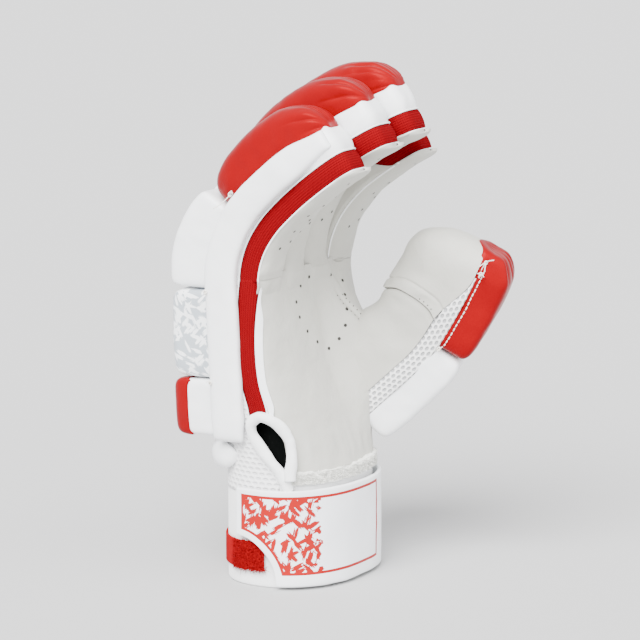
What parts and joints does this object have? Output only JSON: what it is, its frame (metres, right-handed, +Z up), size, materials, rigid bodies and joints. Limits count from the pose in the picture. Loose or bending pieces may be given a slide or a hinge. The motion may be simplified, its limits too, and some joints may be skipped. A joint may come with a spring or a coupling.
{
  "type": "cricket batting glove",
  "caption": "Right-hand batting glove with padded fingers, padded thumb, leather palm and a wrapped wrist strap, standing on its cuff.",
  "frame": {"origin": "middle of the glove's box, on the surface that the cuff stands on", "axes": "+Z up through the cuff towards the fingertips, the palm faces -Y, +X towards the thumb"},
  "size_m": [0.1232, 0.1544, 0.2737],
  "materials": {
    "palm_leather": "soft off-white leather, matt",
    "white_leather": "coated white leather, satin",
    "red_leather": "coated red leather, satin",
    "printed_leather": "coated grey leather with a white print, satin",
    "red_knit": "ribbed stretch knit",
    "white_mesh": "open spacer mesh",
    "towelling": "looped towelling",
    "printed_strap": "coated white strap with a red print, satin",
    "loop_fastener": "fuzzy loop pile",
    "white_binding": "rolled woven tape"
  },
  "bodies": {
    "root": {"little_underside": "palm_leather", "little_gusset": "red_knit", "little_case": "white_leather", "little_cap": "red_leather", "little_knuckle_pad": "white_leather", "little_back_pad": "printed_leather", "little_base_pad": "red_leather", "ring_underside": "palm_leather", "ring_gusset": "red_knit", "ring_case": "white_leather", "ring_cap": "red_leather", "ring_knuckle_pad": "white_leather", "ring_back_pad": "printed_leather", "ring_base_pad": "red_leather", "middle_underside": "palm_leather", "middle_gusset": "red_knit", "middle_case": "white_leather", "middle_cap": "red_leather", "middle_knuckle_pad": "white_leather", "middle_back_pad": "printed_leather", "middle_base_pad": "red_leather", "index_underside": "palm_leather", "index_gusset": "red_knit", "index_case": "white_leather", "index_cap": "red_leather", "index_knuckle_pad": "white_leather", "index_back_pad": "printed_leather", "index_base_pad": "red_leather", "side_panel": "white_leather", "thumb_leather": "palm_leather", "thumb_mesh": "white_mesh", "thumb_base_pad": "white_leather", "thumb_tip_pad": "red_leather", "palm_leather": "palm_leather", "back_mesh": "white_mesh", "cuff_band": "white_mesh", "terry_edge": "towelling", "wrist_strap": "printed_strap", "loop_patch": "loop_fastener", "wrist_roll": "white_leather", "slit_binding": "white_binding"}
  },
  "joints": []
}
